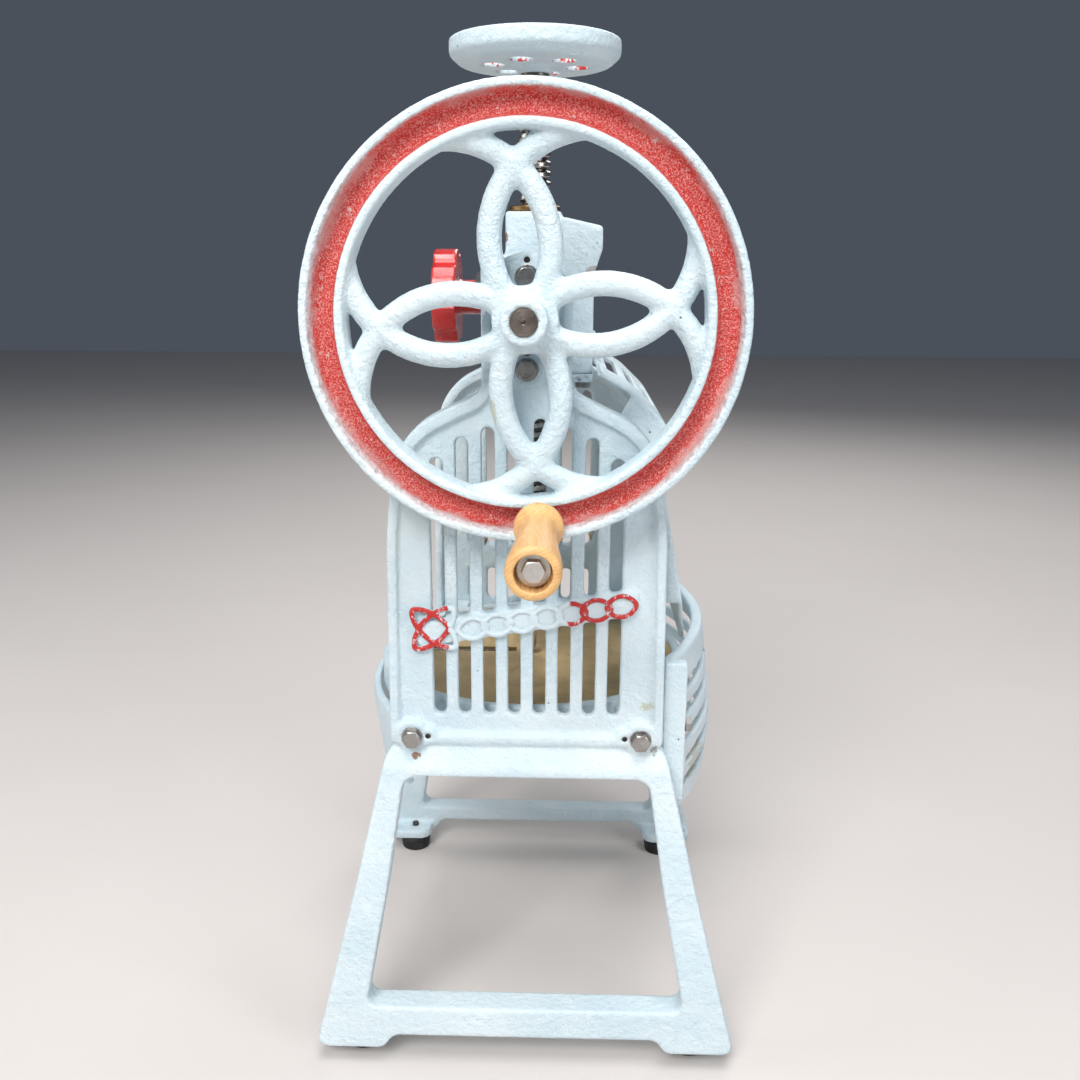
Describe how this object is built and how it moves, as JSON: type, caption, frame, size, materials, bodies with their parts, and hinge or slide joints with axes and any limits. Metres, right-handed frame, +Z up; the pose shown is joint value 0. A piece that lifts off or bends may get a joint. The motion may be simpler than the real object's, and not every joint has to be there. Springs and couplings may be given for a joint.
{
  "type": "hand-cranked block ice shaver",
  "caption": "Cast block ice shaver: a crank wheel drives a feed screw that presses and turns the ice on a blade disc.",
  "frame": {"origin": "on the surface that the feet rest on, under the axis of the feed screw", "axes": "+Z up, the operator and the crank wheel on the -Y side, +X to the operator's right"},
  "size_m": [0.308, 0.454, 0.737],
  "materials": {
    "cast_paint": "satin",
    "bolt_steel": "satin",
    "screw_steel": "matte",
    "ground_steel": "polished",
    "gear_iron": "matte",
    "bush_bronze": "satin",
    "disc_brass": "brushed",
    "blade_steel": "polished",
    "foot_rubber": "matte",
    "grip_wood": "satin",
    "knob_red": "gloss"
  },
  "bodies": {
    "root": {"front_frame": "cast_paint", "rear_frame": "cast_paint", "head_bolts": "bolt_steel", "table_bolts": "bolt_steel", "bolt_washers": "bolt_steel", "locating_screws": "screw_steel", "rubber_feet": "foot_rubber", "foot_screws": "screw_steel", "head_casting": "cast_paint", "gear_cover": "cast_paint", "cover_screws": "screw_steel", "oil_screw": "screw_steel", "front_bush": "bush_bronze", "inner_bush": "bush_bronze", "drive_bush": "bush_bronze", "thrust_washer": "ground_steel", "table_ring": "cast_paint", "blade_disc": "disc_brass", "disc_centre_screw": "disc_brass", "knife_blade": "blade_steel", "blade_clamp": "blade_steel", "blade_screws": "screw_steel", "right_skirt": "cast_paint", "left_skirt": "cast_paint", "skirt_screws": "screw_steel", "side_guard": "cast_paint", "guard_screws": "screw_steel", "brake_shoe": "bush_bronze"},
    "crank": {"handwheel": "cast_paint", "hub_screw": "screw_steel", "main_shaft": "ground_steel", "bevel_pinion": "gear_iron", "pinion_pin": "ground_steel", "grip_bolt": "bolt_steel", "grip_washer": "bolt_steel"},
    "grip": {"wood_grip": "grip_wood"},
    "drive": {"crown_gear": "gear_iron", "feather_key": "ground_steel"},
    "nut": {"feed_nut": "ground_steel"},
    "spindle": {"feed_screw": "ground_steel", "top_wheel": "cast_paint", "top_nut": "bolt_steel", "presser_plate": "cast_paint", "presser_spikes": "blade_steel", "presser_bolt": "bolt_steel"},
    "knob": {"brake_knob": "knob_red", "brake_stud": "ground_steel", "knob_nut": "bolt_steel"}
  },
  "joints": [
    {"name": "crank_turn", "type": "hinge", "parent": "root", "child": "crank", "pos_m": [0, -0.1, 0.546], "axis": [0, 1, 0], "continuous": true},
    {"name": "grip_spin", "type": "hinge", "parent": "crank", "child": "grip", "pos_m": [0.00943, -0.24, 0.41755], "axis": [0, 1, 0], "continuous": true},
    {"name": "gear_turn", "type": "hinge", "parent": "root", "child": "drive", "pos_m": [0, 0, 0.52], "axis": [0, 0, 1], "continuous": true},
    {"name": "nut_turn", "type": "hinge", "parent": "root", "child": "nut", "pos_m": [0, 0, 0.58], "axis": [0, 0, 1], "continuous": true},
    {"name": "screw_feed", "type": "slide", "parent": "drive", "child": "spindle", "axis": [0, 0, 1], "range_m": [-0.09, 0.08]},
    {"name": "knob_turn", "type": "hinge", "parent": "root", "child": "knob", "pos_m": [-0.06, 0, 0.554], "axis": [1, 0, 0], "range_deg": [-300, 0]}
  ],
  "couplings": [
    {"joint": "gear_turn", "follows": "crank_turn", "ratio": -0.5}
  ]
}
